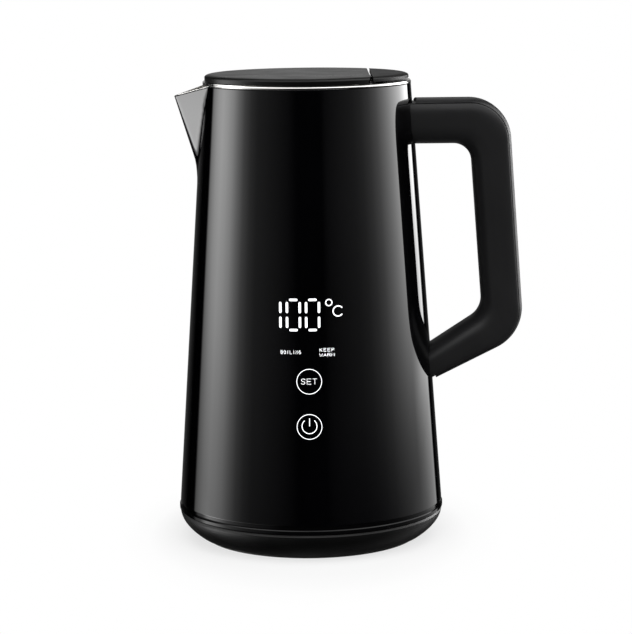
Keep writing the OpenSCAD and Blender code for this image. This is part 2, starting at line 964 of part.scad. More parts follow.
module socket_contacts() {
    color([0.8, 0.65, 0.3])
    union() {
        tube(slot_out, slot_out + contact_t, shutter_top + 1, socket_top - 2);
        tube(cup_in, cup_out, socket_floor, socket_top - 2);
    }
}

module shutter_spring() {
    color([0.7, 0.7, 0.7])
    translate([0, 0, socket_floor])
    coil((slot_in + slot_out) / 2, 0.3, shutter_z - socket_floor, 2, 32);
}

module socket_shutter() {
    color([0.12, 0.12, 0.12])
    tube(slot_in + shutter_play, slot_out - shutter_play, shutter_z, shutter_top);
}

module cord_gland() {
    color([0.03, 0.03, 0.03])
    translate([0, gland_out, gland_z])
    rotate([90, 0, 0])
    difference() {
        cylinder(r = gland_r, h = gland_out - gland_in, $fn = round_fn);
        translate([0, 0, -1])
        cylinder(r = cord_bore_r, h = gland_out - gland_in + 2, $fn = round_fn);
    }
}

outer_shell();
inner_vessel();
spout_liner();
bottom_cover();
body_screws();
heating_plate();
heating_element();
coupler();
coupler_pin();
coupler_ring();
temperature_sensor();
control_board();
display_frame();
display_board();
touch_springs();
handle_shell();
handle_cover();
handle_screws();
hinge_housing();
lid_catch();
button_springs();
lid_cover();
lid_plug();
lid_gasket();
lid_pins();
lid_spring();
lid_screws();
lid_button();
base_shell();
base_plate();
foot_ring();
base_screws();
base_socket();
socket_contacts();
shutter_spring();
socket_shutter();
cord_gland();
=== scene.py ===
"""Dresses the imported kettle: smooth skins, materials, light marks, studio and camera."""
import math

import bmesh
import bpy
from mathutils import Matrix, Vector


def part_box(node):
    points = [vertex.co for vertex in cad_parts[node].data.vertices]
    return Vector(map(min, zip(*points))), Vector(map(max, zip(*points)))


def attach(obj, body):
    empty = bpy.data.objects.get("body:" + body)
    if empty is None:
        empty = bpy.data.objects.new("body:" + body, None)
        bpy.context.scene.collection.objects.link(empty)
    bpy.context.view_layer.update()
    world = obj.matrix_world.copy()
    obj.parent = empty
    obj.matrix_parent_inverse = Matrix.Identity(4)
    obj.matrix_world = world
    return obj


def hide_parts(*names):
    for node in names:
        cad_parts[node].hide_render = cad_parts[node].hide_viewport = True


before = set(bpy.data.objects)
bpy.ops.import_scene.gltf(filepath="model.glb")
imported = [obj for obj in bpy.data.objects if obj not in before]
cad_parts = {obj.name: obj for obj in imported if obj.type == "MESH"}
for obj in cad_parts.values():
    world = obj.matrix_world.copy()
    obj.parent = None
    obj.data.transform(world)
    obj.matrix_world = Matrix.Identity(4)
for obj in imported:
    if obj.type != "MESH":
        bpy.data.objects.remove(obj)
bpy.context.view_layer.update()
MM = 0.001


def corners(name):
    """A node's lowest and highest corners at rest, in millimetres."""
    return [[round(v / MM, 2) for v in point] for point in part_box(name)]


def clamp(value):
    return max(0.0, min(1.0, value))


# ---------------------------------------------------------------- sizes of the body, in millimetres
shell_low, shell_high = corners("outer_shell")
FOOT_R = shell_high[0]
SHELL_Z = shell_low[2]
SHELL_TOP = shell_high[2]
RIM_R = 55.4
SLOPE = (FOOT_R - RIM_R) / (SHELL_TOP - SHELL_Z)
SHELL_T = 2.2

# the beak: its tip, the lean and rounding of its ridge, the angle of its faces, its mouth's rise, its wall
TIP_X = 70.4
TIP_Z = 238.6
LEAN = 0.31
RIDGE_R = 3.2
RIDGE_GROWTH = 0.22
TURN = math.pi / 2 - math.radians(43.4)
MOUTH = 0.31
BEAK_SKIN = 1.8
# the widest angle from the beak's direction that the beak can reach, in radians
BEAK_ZONE = 1.2
# softness of the crease between beak and body: at the tip, what it gains below it, and over what height
CREASE = 0.1
CREASE_GAIN = 3.2
CREASE_H = 40.0
# how far to either side of the beak's direction the mouth reaches
MOUTH_SIDE = math.radians(27)


def shell_r(z):
    """The body's outer radius at a height."""
    return RIM_R + (SHELL_TOP - z) * SLOPE


# ---------------------------------------------------------------- node helpers
def node(tree, kind, **values):
    """A new shader node; in_0, in_1 and so on set its inputs, other names its properties."""
    n = tree.nodes.new(kind)
    for key, value in values.items():
        if key.startswith("in_"):
            n.inputs[int(key[3:])].default_value = value
        else:
            setattr(n, key, value)
    return n


def bare_material(name):
    """A material with nothing but its output node."""
    material = bpy.data.materials.new(name)
    material.use_nodes = True
    tree = material.node_tree
    tree.nodes.clear()
    return material, tree, node(tree, "ShaderNodeOutputMaterial")


def new_material(name):
    material, tree, out = bare_material(name)
    bsdf = node(tree, "ShaderNodeBsdfPrincipled")
    tree.links.new(bsdf.outputs[0], out.inputs[0])
    return material, tree, bsdf


def ramp(tree, source, stops):
    """A colour ramp over (position, value) stops, each value a grey or an (r, g, b)."""
    r = node(tree, "ShaderNodeValToRGB")
    elements = r.color_ramp.elements
    while len(elements) > 1:
        elements.remove(elements[-1])
    elements[0].position = stops[0][0]
    for k, (position, value) in enumerate(stops):
        element = elements[0] if k == 0 else elements.new(position)
        element.color = (*value, 1) if isinstance(value, tuple) else (value, value, value, 1)
    tree.links.new(source, r.inputs[0])
    return r.outputs[0]


def math_node(tree, operation, *operands):
    m = node(tree, "ShaderNodeMath", operation=operation)
    for i, operand in enumerate(operands):
        if isinstance(operand, (int, float)):
            m.inputs[i].default_value = operand
        else:
            tree.links.new(operand, m.inputs[i])
    return m.outputs[0]


def blend(tree, kind, a, b):
    """Two colours multiplied (MULTIPLY) or added (ADD)."""
    m = node(tree, "ShaderNodeMix", data_type="RGBA", blend_type=kind, in_0=1.0)
    tree.links.new(a, m.inputs[6])
    tree.links.new(b, m.inputs[7])
    return m.outputs[2]


def mix_shader(tree, share, first, second):
    """A shader that turns from the first into the second as the share goes from 0 to 1."""
    m = node(tree, "ShaderNodeMixShader")
    tree.links.new(share, m.inputs[0])
    tree.links.new(first.outputs[0], m.inputs[1])
    tree.links.new(second.outputs[0], m.inputs[2])
    return m


def object_noise(tree, scale, detail, stretch=(1, 1, 1)):
    coordinates = node(tree, "ShaderNodeTexCoord")
    mapping = node(tree, "ShaderNodeMapping")
    mapping.inputs["Scale"].default_value = stretch
    tree.links.new(coordinates.outputs["Object"], mapping.inputs[0])
    noise = node(tree, "ShaderNodeTexNoise")
    noise.inputs["Scale"].default_value = scale
    noise.inputs["Detail"].default_value = detail
    tree.links.new(mapping.outputs[0], noise.inputs["Vector"])
    return noise.outputs[0]


def bump(tree, bsdf, height, strength, distance):
    b = node(tree, "ShaderNodeBump")
    b.inputs["Strength"].default_value = strength
    b.inputs["Distance"].default_value = distance
    tree.links.new(height, b.inputs["Height"])
    tree.links.new(b.outputs[0], bsdf.inputs["Normal"])


# ---------------------------------------------------------------- materials
TONE_SCALE = 18.0
HAZE_SCALE = 60.0
BRUSH_SCALE = 40.0
BRUSH_DEPTH = 0.0002
MARK_SCALE = 300.0


def plastic(name, dark, light, rough, spread, grain=None, specular=0.5):
    """Plastic or rubber whose tone and gloss vary a little; grain is (scale, strength, depth in metres)."""
    material, tree, bsdf = new_material(name)
    tone = object_noise(tree, TONE_SCALE, 4.0)
    tree.links.new(ramp(tree, tone, [(0.35, dark), (0.65, light)]), bsdf.inputs["Base Color"])
    haze = object_noise(tree, HAZE_SCALE, 3.0)
    roughness = ramp(tree, haze, [(0.3, rough - spread), (0.7, rough + spread)])
    tree.links.new(roughness, bsdf.inputs["Roughness"])
    bsdf.inputs["Specular IOR Level"].default_value = specular
    if grain:
        scale, strength, depth = grain
        bump(tree, bsdf, object_noise(tree, scale, 2.0), strength, depth)
    return material


def metal(name, light, rough, stretch, strength):
    """Metal with brush marks, drawn out along the axes where stretch is small."""
    material, tree, bsdf = new_material(name)
    brushed = object_noise(tree, BRUSH_SCALE, 4.0, stretch)
    dark = tuple(c * 0.86 for c in light)
    tree.links.new(ramp(tree, brushed, [(0.3, dark), (0.7, light)]), bsdf.inputs["Base Color"])
    roughness = ramp(tree, brushed, [(0.3, rough * 0.8), (0.7, rough * 1.25)])
    tree.links.new(roughness, bsdf.inputs["Roughness"])
    bsdf.inputs["Metallic"].default_value = 1.0
    bump(tree, bsdf, brushed, strength, BRUSH_DEPTH)
    return material


def light_mark(name, colour, strength):
    """The glowing face of a display mark."""
    material, tree, bsdf = new_material(name)
    tone = object_noise(tree, MARK_SCALE, 2.0)
    dimmer = tuple(c * 0.93 for c in colour)
    tree.links.new(ramp(tree, tone, [(0.3, dimmer), (0.7, colour)]), bsdf.inputs["Emission Color"])
    bsdf.inputs["Emission Strength"].default_value = strength
    bsdf.inputs["Base Color"].default_value = (0.6, 0.6, 0.6, 1)
    bsdf.inputs["Roughness"].default_value = 0.3
    return material


gloss_black = plastic("gloss_black", (0.0004, 0.0004, 0.0006), (0.0007, 0.0007, 0.001), 0.03, 0.012)
handle_black = plastic("handle_black", (0.0085, 0.0085, 0.009), (0.0105, 0.0105, 0.011), 0.4, 0.04,
                       (2600.0, 0.12, 0.0001), specular=0.22)
lid_black = plastic("lid_black", (0.0012, 0.0012, 0.0011), (0.002, 0.002, 0.0018), 0.3, 0.04,
                    (2200.0, 0.08, 0.0001), specular=0.2)
button_black = plastic("button_black", (0.0012, 0.0012, 0.0011), (0.002, 0.002, 0.0018), 0.42, 0.04,
                       (2200.0, 0.08, 0.0001), specular=0.15)
base_black = plastic("base_black", (0.0012, 0.0012, 0.0013), (0.0022, 0.0022, 0.0023), 0.42, 0.05,
                     (1500.0, 0.25, 0.0002), specular=0.25)
ring_black = plastic("ring_black", (0.0008, 0.0008, 0.001), (0.0014, 0.0014, 0.0016), 0.1, 0.02,
                     specular=0.14)
# painted shade: a black that hardly reflects, for the line in the gap between the shell's paint and the
# steel rim
gap_shade_black = plastic("gap_shade_black", (0.0005, 0.0005, 0.0006), (0.0009, 0.0009, 0.001), 0.5, 0.04,
                     specular=0.03)
inner_black = plastic("inner_black", (0.018, 0.018, 0.018), (0.024, 0.024, 0.024), 0.5, 0.05,
                      (900.0, 0.2, 0.0002))
rubber_black = plastic("rubber_black", (0.010, 0.010, 0.010), (0.016, 0.016, 0.016), 0.75, 0.08,
                       (700.0, 0.3, 0.0002))
silicone_grey = plastic("silicone_grey", (0.42, 0.42, 0.40), (0.5, 0.5, 0.48), 0.45, 0.06,
                        (500.0, 0.1, 0.0002))
board_green = plastic("board_green", (0.01, 0.09, 0.04), (0.015, 0.12, 0.055), 0.3, 0.06)
steel = metal("steel", (0.66, 0.64, 0.60), 0.22, (1, 1, 40), 0.06)
rim_steel = metal("rim_steel", (0.86, 0.85, 0.83), 0.16, (30, 30, 1), 0.03)
bright_steel = metal("bright_steel", (0.70, 0.70, 0.69), 0.28, (30, 30, 1), 0.05)
aluminium = metal("aluminium", (0.72, 0.72, 0.72), 0.4, (20, 20, 20), 0.08)
brass = metal("brass", (0.78, 0.58, 0.26), 0.25, (30, 30, 1), 0.05)
glow = light_mark("mark_light", (0.95, 0.97, 1.0), 1.25)
# stronger than the other, because the strokes of the small words are thinner
glow_small = light_mark("mark_light_dim", (0.9, 0.92, 0.95), 3.6)

# ---------------------------------------------------------------- the carried-over solids
NODES_OF = [
    (gloss_black, ["outer_shell"]),
    (handle_black, ["handle_shell", "handle_cover"]),
    (lid_black, ["lid_cover"]),
    (button_black, ["lid_button"]),
    (base_black, ["base_shell"]),
    (ring_black, ["bottom_cover"]),
    (inner_black, ["coupler", "display_frame", "hinge_housing", "base_plate", "base_socket",
                   "socket_shutter"]),
    (rubber_black, ["foot_ring", "cord_gland"]),
    (silicone_grey, ["lid_gasket"]),
    (board_green, ["control_board", "display_board"]),
    (steel, ["inner_vessel", "lid_plug"]),
    (rim_steel, ["spout_liner"]),
    (bright_steel, ["body_screws", "handle_screws", "lid_screws", "base_screws", "temperature_sensor",
                    "touch_springs", "button_springs", "lid_spring", "shutter_spring", "lid_catch",
                    "lid_pins"]),
    (aluminium, ["heating_plate", "heating_element"]),
    (brass, ["coupler_pin", "coupler_ring", "socket_contacts"]),
]
# widths of the rounded edges, in millimetres
BEVELS = {"lid_cover": 0.2, "lid_button": 0.35, "bottom_cover": 0.25, "base_shell": 0.3, "spout_liner": 0.2,
          "lid_plug": 0.2, "base_plate": 0.2, "foot_ring": 0.3, "coupler": 0.3, "base_socket": 0.3,
          "cord_gland": 0.4, "hinge_housing": 0.25}
BEVEL_ANGLE = math.radians(40)
SHARP_ANGLE = math.radians(35)
HANDLE_SHARP_ANGLE = math.radians(32)


def dress(name, material):
    """Gives a solid its material, smooth shading, and either rounded or sharp edges."""
    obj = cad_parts[name]
    obj.data.materials.clear()
    obj.data.materials.append(material)
    for polygon in obj.data.polygons:
        polygon.use_smooth = True
    if name not in BEVELS:
        obj.modifiers.new("sharp", "EDGE_SPLIT").split_angle = SHARP_ANGLE
        return
    bevel = obj.modifiers.new("edges", "BEVEL")
    bevel.width = BEVELS[name] * MM
    bevel.segments = 3
    bevel.limit_method = "ANGLE"
    bevel.angle_limit = BEVEL_ANGLE
    bevel.harden_normals = True


for finish, solids in NODES_OF:
    for solid in solids:
        dress(solid, finish)


# ---------------------------------------------------------------- mesh helpers
def add_mesh(name, verts, faces, material, smooth=True):
    """A new object from points in millimetres, with its normals facing outwards."""
    mesh = bpy.data.meshes.new(name)
    mesh.from_pydata([Vector(v) * MM for v in verts], [], faces)
    mesh.materials.append(material)
    bm = bmesh.new()
    bm.from_mesh(mesh)
    bmesh.ops.recalc_face_normals(bm, faces=bm.faces)
    bm.to_mesh(mesh)
    bm.free()
    for polygon in mesh.polygons:
        polygon.use_smooth = smooth
    mesh.update()
    obj = bpy.data.objects.new(name, mesh)
    bpy.context.collection.objects.link(obj)
    return obj


def grid_faces(rows, count, closed):
    """Quads between rows of count points each. The last row joins the first, or else both get a cap."""
    faces = []
    for i in range(rows if closed else rows - 1):
        j = (i + 1) % rows
        for k in range(count):
            m = (k + 1) % count
            faces.append((i * count + k, i * count + m, j * count + m, j * count + k))
    if not closed:
        faces.append(tuple(range(count - 1, -1, -1)))
        faces.append(tuple((rows - 1) * count + k for k in range(count)))
    return faces


def around(phi, r, z):
    """The point at an angle from the beak's direction, a radius and a height."""
    return (-r * math.cos(phi), -r * math.sin(phi), z)


# ---------------------------------------------------------------- outer shell with its beak
def smooth_max(a, b, k):
    """The larger of two values, blended where they differ by less than k."""
    h = clamp(0.5 + 0.5 * (a - b) / k)
    return b + (a - b) * h + k * h * (1 - h)


def wall_radius(phi, z, inset=0.0, beak_inset=0.0):
    """Radius of the wall at an angle from the beak's direction, with a rounded ridge and soft creases.

    The insets are how far inside the outer face it lies, in the body and at the beak's ridge.
    """
    body = shell_r(z) - inset
    a = abs(phi)
    if a > BEAK_ZONE:
        return body
    full = RIDGE_R + (TIP_Z - z) * RIDGE_GROWTH
    centre = TIP_X + (z - TIP_Z) * LEAN - full
    ridge = max(full - beak_inset, 0.1)
    if a < math.atan2(ridge * math.sin(TURN), centre + ridge * math.cos(TURN)):
        beak = centre * math.cos(a) + math.sqrt(max(ridge * ridge - (centre * math.sin(a)) ** 2, 0.0))
    else:
        beak = (centre * math.cos(TURN) + ridge) / math.cos(a - TURN)
    below = clamp((TIP_Z - z) / CREASE_H)
    return smooth_max(beak, body, CREASE + CREASE_GAIN * below * below)


def top_height(phi):
    """Height of the shell's upper edge: level round the rim, sloping along the beak's mouth."""
    rounds = 12
    z = SHELL_TOP
    for _ in range(rounds):
        x = -wall_radius(phi, z) * math.cos(phi)
        z = min(SHELL_TOP, TIP_Z + (x + TIP_X) * MOUTH)
    return z


def angles():
    """Angles round the body, close together at the beak."""
    steps = [0.25 * k for k in range(12)]
    steps += [3 + 0.5 * k for k in range(50)]
    steps += [28 + 1.6 * k for k in range(95)]
    half = [math.radians(a) for a in steps]
    return half + [math.pi] + [-a for a in reversed(half) if a > 0]


ANGLES = angles()
# radii of the shell's rounded foot and upper edge
FOOT_EDGE = 0.3
TOP_EDGE = 0.15
# a quarter of a circle, as how far along it and how far in each point is
QUARTER = [(math.sin(math.radians(a)), 1 - math.cos(math.radians(a))) for a in range(0, 91, 18)]
# shares of the height where the wall has points, closer together near its ends
OUTSIDE = ([0.001, 0.004, 0.02] + [0.05 + 0.9 * k / 60 for k in range(61)]
           + [0.97, 0.985, 0.993, 0.997, 0.9985])
INSIDE = [1.0, 0.99, 0.97] + [0.95 - 0.9 * k / 30 for k in range(31)] + [0.0]


def shell_column(phi):
    """The wall's points at one angle: outside going up, over the upper edge, inside going down."""
    low = SHELL_Z + FOOT_EDGE
    top = top_height(phi)
    high = top - TOP_EDGE
    foot_r = wall_radius(phi, low)
    top_r = wall_radius(phi, high)
    column = [around(phi, foot_r - FOOT_EDGE * c, low - FOOT_EDGE * s) for s, c in reversed(QUARTER)]
    for share in OUTSIDE:
        z = low + share * (high - low)
        column.append(around(phi, wall_radius(phi, z), z))
    column += [around(phi, top_r - TOP_EDGE * c, high + TOP_EDGE * s) for s, c in QUARTER]
    for share in INSIDE:
        z = SHELL_Z + share * (top - SHELL_Z)
        column.append(around(phi, wall_radius(phi, z, SHELL_T, BEAK_SKIN), z))
    return column


def shell_skin():
    columns = [shell_column(phi) for phi in ANGLES]
    verts = [point for column in columns for point in column]
    return add_mesh("body_skin", verts, grid_faces(len(columns), len(columns[0]), True), gloss_black)


body_skin = shell_skin()
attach(body_skin, "kettle")
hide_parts("outer_shell")


def tube_row(phi, r, z, thick, sides):
    """One ring of points round a thin line that runs round the body."""
    turns = [2 * math.pi * j / sides for j in range(sides)]
    return [around(phi, r + thick * math.cos(a), z + thick * math.sin(a)) for a in turns]


def rim_bead():
    """The steel rim's rolled outer edge, from one side of the beak round to the other."""
    steps, sides = 150, 16
    thick, inwards, below = 0.6, 0.3, 0.9
    ring = corners("spout_liner")[1]
    verts = []
    for k in range(steps + 1):
        phi = MOUTH_SIDE + (2 * math.pi - 2 * MOUTH_SIDE) * k / steps
        verts += tube_row(phi, ring[0] - inwards, ring[2] - below, thick, sides)
    return add_mesh("rim_bead", verts, grid_faces(steps + 1, sides, False), rim_steel)


bead = rim_bead()
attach(bead, "kettle")


def line_drop(phi):
    """How far the dark line's middle is below the shell's edge; it rises towards the back."""
    rise_start, rise_turn, rise = math.radians(100), math.radians(35), 0.4
    t = clamp((abs(phi) - rise_start) / rise_turn)
    drop = 0.3 if abs(phi) < MOUTH_SIDE else 0.45
    return drop - rise * t * t * (3 - 2 * t)


def gap_shade_line():
    """A dark, hardly reflecting line along the shell's upper edge, round the rim and along the beak's
    mouth: painted shade for the gap between the paint and the steel rim.
    """
    sides = 10
    thick, proud = 0.42, 0.06
    verts = []
    for phi in ANGLES:
        z = top_height(phi) - line_drop(phi)
        verts += tube_row(phi, wall_radius(phi, z) - thick + proud, z, thick, sides)
    return add_mesh("gap_shade_line", verts, grid_faces(len(ANGLES), sides, True), gap_shade_black)


line = gap_shade_line()
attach(line, "kettle")

# ---------------------------------------------------------------- handle
# Its outer line turns at an upper corner (REACH, HANDLE_Z) and at a lower one at LOW_Z; the grip leans
# outwards between them, and the lower arm slopes down towards the body. The inner line does the same.
HANDLE_Z = corners("handle_cover")[1][2]
REACH = 107.03
LOW_Z = 109.5
GRIP_LEAN = 0.066
LOW_SLOPE = 0.491
ARM_T = 24.1
GRIP_T = 21.8
HALF_W = 15.0
INNER_TOP = HANDLE_Z - ARM_T
INNER_LOW = LOW_Z + 12.7
INNER_LEAN = 0.069
INNER_SLOPE = 0.65
TOP_CORNER_R = 22
TOP_INNER_R = 10
LOW_CORNER_R = 24
LOW_INNER_R = 12
# where the arms start inside the body, and how far the lower arm runs back, outside and inside
ARM_START = 52.5
LOW_RUN = 52.5
LOW_RUN_IN = 33.5
ARM_STEPS = 10
GRIP_STEPS = 16
CORNER_STEPS = 18
# how square the section is: the lower, the squarer, and 1 is an ellipse
OUTSIDE_POWER = 0.5
INSIDE_POWER = 0.74
# depth of the parting line between strip and grip from the handle's outer edge, and the groove along it:
# how far each piece's edge and lip are from it, how proud the grip's edge is, and how far in the lips are
SPLIT = 2.0
GRIP_EDGE = 0.28
GRIP_LIP = 0.12
STRIP_EDGE = 0.1
GRIP_PROUD = 0.02
LIP_IN = 0.35
# gaps between the handle's pieces and the body's cone
GRIP_GAP = 0.05
STRIP_GAP = 2.5


def v2(x, z):
    return Vector((x, z))


def corner(p, a, b, r):
    """An arc of radius r that rounds the corner at p, from direction a to direction b."""
    turn = math.acos(max(-1, min(1, a.dot(b))))
    t = r * math.tan(turn / 2)
    side = (b - a * a.dot(b)).normalized()
    centre = p - a * t + side * r
    start = p - a * t - centre
    turns = [turn * i / CORNER_STEPS for i in range(CORNER_STEPS + 1)]
    return [centre + start * math.cos(w) + a * (r * math.sin(w)) for w in turns]


def straight(a, b, steps):
    """The points between two ends, without the ends."""
    return [a.lerp(b, i / steps) for i in range(1, steps)]


def loop_line(start, upper, lower, end):
    """A line of the handle: the upper arm, its corner, the grip, the lower corner and the lower arm."""
    arm = [start] + straight(start, upper[0], ARM_STEPS) + upper
    grip = straight(upper[-1], lower[0], GRIP_STEPS) + lower
    return arm + grip + straight(lower[-1], end, ARM_STEPS) + [end]


def handle_lines():
    """The handle's outer and inner lines as (x, z) points, as many on each."""
    right = v2(1, 0)
    down = v2(GRIP_LEAN, -1).normalized()
    down_in = v2(INNER_LEAN, -1).normalized()
    back = v2(-1, -LOW_SLOPE)
    back_in = v2(-1, -INNER_SLOPE)
    top = v2(REACH, HANDLE_Z)
    top_in = v2(REACH - GRIP_T + (HANDLE_Z - INNER_TOP) * INNER_LEAN, INNER_TOP)
    low = v2(REACH + (HANDLE_Z - LOW_Z) * GRIP_LEAN, LOW_Z)
    low_in = v2(REACH - GRIP_T + (HANDLE_Z - INNER_LOW) * INNER_LEAN, INNER_LOW)
    outer = loop_line(v2(ARM_START, HANDLE_Z), corner(top, right, down, TOP_CORNER_R),
                      corner(low, down, back.normalized(), LOW_CORNER_R), low + back * LOW_RUN)
    inner = loop_line(v2(ARM_START, INNER_TOP), corner(top_in, right, down_in, TOP_INNER_R),
                      corner(low_in, down_in, back_in.normalized(), LOW_INNER_R),
                      low_in + back_in * LOW_RUN_IN)
    return outer, inner


def soft(v, power):
    """A value raised to a power, with its sign kept."""
    return math.copysign(abs(v) ** power, v)


def round_point(depth, angle):
    """A point of the section at an angle from its outer edge: square outside, rounder at the opening."""
    h = depth / 2
    power = OUTSIDE_POWER if math.cos(angle) > 0 else INSIDE_POWER
    return (h - h * soft(math.cos(angle), power), HALF_W * soft(math.sin(angle), power))


def split_angle(depth):
    """The angle at which the section crosses the parting line."""
    return math.acos((1 - 2 * SPLIT / depth) ** 2)


def grip_section(depth):
    """The grip's (depth, y) points, from the parting line the long way round."""
    steps = 56
    a = split_angle(depth)
    points = [round_point(depth, a + (2 * math.pi - 2 * a) * k / steps) for k in range(steps + 1)]
    y = points[0][1]
    points[0] = (SPLIT + GRIP_EDGE, y + GRIP_PROUD)
    points[-1] = (SPLIT + GRIP_EDGE, -y - GRIP_PROUD)
    return [(SPLIT + GRIP_LIP, y - LIP_IN)] + points + [(SPLIT + GRIP_LIP, LIP_IN - y)]


def strip_section(depth):
    """The strip's (depth, y) points along the handle's outer edge."""
    steps = 40
    a = split_angle(depth)
    points = [round_point(depth, -a + 2 * a * k / steps) for k in range(steps + 1)]
    y = points[-1][1]
    points[0] = (SPLIT - STRIP_EDGE, STRIP_EDGE - y)
    points[-1] = (SPLIT - STRIP_EDGE, y - STRIP_EDGE)
    return [(SPLIT + STRIP_EDGE, LIP_IN - y)] + points + [(SPLIT + STRIP_EDGE, y - LIP_IN)]


def swept(name, section):
    """A piece of the handle: its section carried along the outer and inner lines."""
    rows = []
    for outside, inside in zip(*handle_lines()):
        across = inside - outside
        direction = across.normalized()
        row = []
        for depth, y in section(across.length):
            p = outside + direction * depth
            row.append((p.x, y, p.y))
        rows.append(row)
    verts = [point for row in rows for point in row]
    return add_mesh(name, verts, grid_faces(len(rows), len(rows[0]), False), handle_black)


def trim_to_body(obj, gap):
    """Takes away what lies inside a cone that stands a gap proud of the body's."""
    sides = 160
    cone_low = SHELL_Z + 10
    cone_high = SHELL_TOP + 12
    verts = []
    for z in (cone_low, cone_high):
        r = shell_r(z) + gap
        for k in range(sides):
            a = 2 * math.pi * k / sides
            verts.append((r * math.cos(a), r * math.sin(a), z))
    cutter = add_mesh("cutter", verts, grid_faces(2, sides, False), handle_black, smooth=False)
    trim = obj.modifiers.new("trim", "BOOLEAN")
    trim.operation = "DIFFERENCE"
    trim.solver = "EXACT"
    trim.object = cutter
    depsgraph = bpy.context.evaluated_depsgraph_get()
    trimmed = bpy.data.meshes.new_from_object(obj.evaluated_get(depsgraph))
    obj.modifiers.clear()
    obj.data = trimmed
    bpy.data.objects.remove(cutter)
    for polygon in obj.data.polygons:
        polygon.use_smooth = True
    obj.modifiers.new("sharp", "EDGE_SPLIT").split_angle = HANDLE_SHARP_ANGLE


HANDLE_PIECES = (("handle_grip", grip_section, "handle_shell", GRIP_GAP),
                 ("handle_strip", strip_section, "handle_cover", STRIP_GAP))
for piece_name, outline, stands_for, body_gap in HANDLE_PIECES:
    piece = swept(piece_name, outline)
    trim_to_body(piece, body_gap)
    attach(piece, "kettle")
    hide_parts(stands_for)

# ---------------------------------------------------------------- light marks on the front of the shell
# where a mark's face and back lie, from the shell's surface
MARK_FACE = 0.07
MARK_BACK = -0.15
# the degrees round a stroke's end at which it has rows
CAP_ANGLES = (30, 60, 80)


def on_shell(point, lift):
    """The point of the shell's front at an (x, z) place, lifted off it."""
    r = shell_r(point.y) + lift
    return (point.x, -math.sqrt(max(r * r - point.x * point.x, 0)), point.y)


def round_end(end, outward, half, sign):
    """Rows that round a stroke's end off; sign is 1 where outward is the way that the stroke runs."""
    out = outward.normalized()
    left = v2(-out.y, out.x) * sign
    rows = []
    for angle in CAP_ANGLES:
        middle = end + out * (half * math.sin(math.radians(angle)))
        wide = left * (half * math.cos(math.radians(angle)))
        rows.append((middle + wide, middle - wide))
    return rows


def stroke(verts, faces, path, width, closed=False):
    """A thin raised line along a path of (x, z) points on the shell's front, with round ends."""
    half = width / 2
    points = [v2(*p) for p in path]
    last = len(points) - 1
    rows = []
    for i, point in enumerate(points):
        before = points[i - 1] if closed or i > 0 else point
        after = points[(i + 1) % len(points)] if closed or i < last else point
        ahead = (after - before).normalized()
        side = v2(-ahead.y, ahead.x) * half
        rows.append((point + side, point - side))
    if not closed:
        rows = round_end(points[0], points[0] - points[1], half, -1)[::-1] + rows
        rows += round_end(points[last], points[last] - points[last - 1], half, 1)
    base = len(verts)
    for left, right in rows:
        verts += [on_shell(left, MARK_FACE), on_shell(right, MARK_FACE)]
        verts += [on_shell(right, MARK_BACK), on_shell(left, MARK_BACK)]
    faces += [tuple(base + k for k in face) for face in grid_faces(len(rows), 4, closed)]


def between(p, q, steps):
    """Points of a straight line, both ends among them."""
    return [(p[0] + (q[0] - p[0]) * i / steps, p[1] + (q[1] - p[1]) * i / steps) for i in range(steps + 1)]


def arc(cx, cz, r, steps, first, last):
    """Points of an arc from one angle to another, in degrees, both ends among them."""
    turns = [math.radians(first + (last - first) * k / steps) for k in range(steps + 1)]
    return [(cx + r * math.cos(a), cz + r * math.sin(a)) for a in turns]


def ring_mark(verts, faces, cx, cz, r, width, steps):
    stroke(verts, faces, arc(cx, cz, r, steps, 0, 360)[:-1], width, closed=True)


# strokes of plain capital letters, 0 to 1 wide and 0 to 1 high
LETTERS = {
    "S": [[(1, 0.82), (0.8, 0.97), (0.5, 1), (0.2, 0.96), (0.05, 0.78), (0.2, 0.58), (0.8, 0.42),
           (0.95, 0.22), (0.8, 0.04), (0.5, 0), (0.2, 0.03), (0, 0.18)]],
    "E": [[(1, 1), (0, 1), (0, 0), (1, 0)], [(0, 0.5), (0.85, 0.5)]],
    "T": [[(0, 1), (1, 1)], [(0.5, 1), (0.5, 0)]],
    "B": [[(0, 0), (0, 1), (0.7, 1), (0.95, 0.78), (0.7, 0.54), (0, 0.54)],
          [(0.7, 0.54), (1, 0.28), (0.75, 0), (0, 0)]],
    "O": [[(0.5, 1), (0.15, 0.85), (0, 0.5), (0.15, 0.15), (0.5, 0), (0.85, 0.15), (1, 0.5),
           (0.85, 0.85), (0.5, 1)]],
    "I": [[(0.5, 1), (0.5, 0)]],
    "L": [[(0, 1), (0, 0), (1, 0)]],
    "K": [[(0, 1), (0, 0)], [(1, 1), (0, 0.45)], [(0.3, 0.6), (1, 0)]],
    "P": [[(0, 0), (0, 1), (0.8, 1), (1, 0.76), (0.8, 0.5), (0, 0.5)]],
    "W": [[(0, 1), (0.25, 0), (0.5, 0.7), (0.75, 0), (1, 1)]],
    "A": [[(0, 0), (0.5, 1), (1, 0)], [(0.2, 0.36), (0.8, 0.36)]],
    "R": [[(0, 0), (0, 1), (0.8, 1), (1, 0.76), (0.8, 0.5), (0, 0.5)], [(0.5, 0.5), (1, 0)]],
    "M": [[(0, 0), (0, 1), (0.5, 0.3), (1, 1), (1, 0)]],
    "N": [[(0, 0), (0, 1), (1, 0), (1, 1)]],
    "G": [[(0.95, 0.85), (0.6, 1), (0.2, 0.9), (0, 0.5), (0.2, 0.1), (0.6, 0), (1, 0.15), (1, 0.5),
           (0.6, 0.5)]],
}


def word(verts, faces, text, x0, x1, z0, height, width, share):
    """A word from x0 to x1 on a line at z0; share is a letter's width over the letters' spacing."""
    step = (x1 - x0) / len(text)
    w = step * share
    for k, letter in enumerate(text):
        left = x0 + k * step + (step - w) / 2
        for path in LETTERS[letter]:
            stroke(verts, faces, [(left + px * w, z0 + pz * height) for px, pz in path], width)


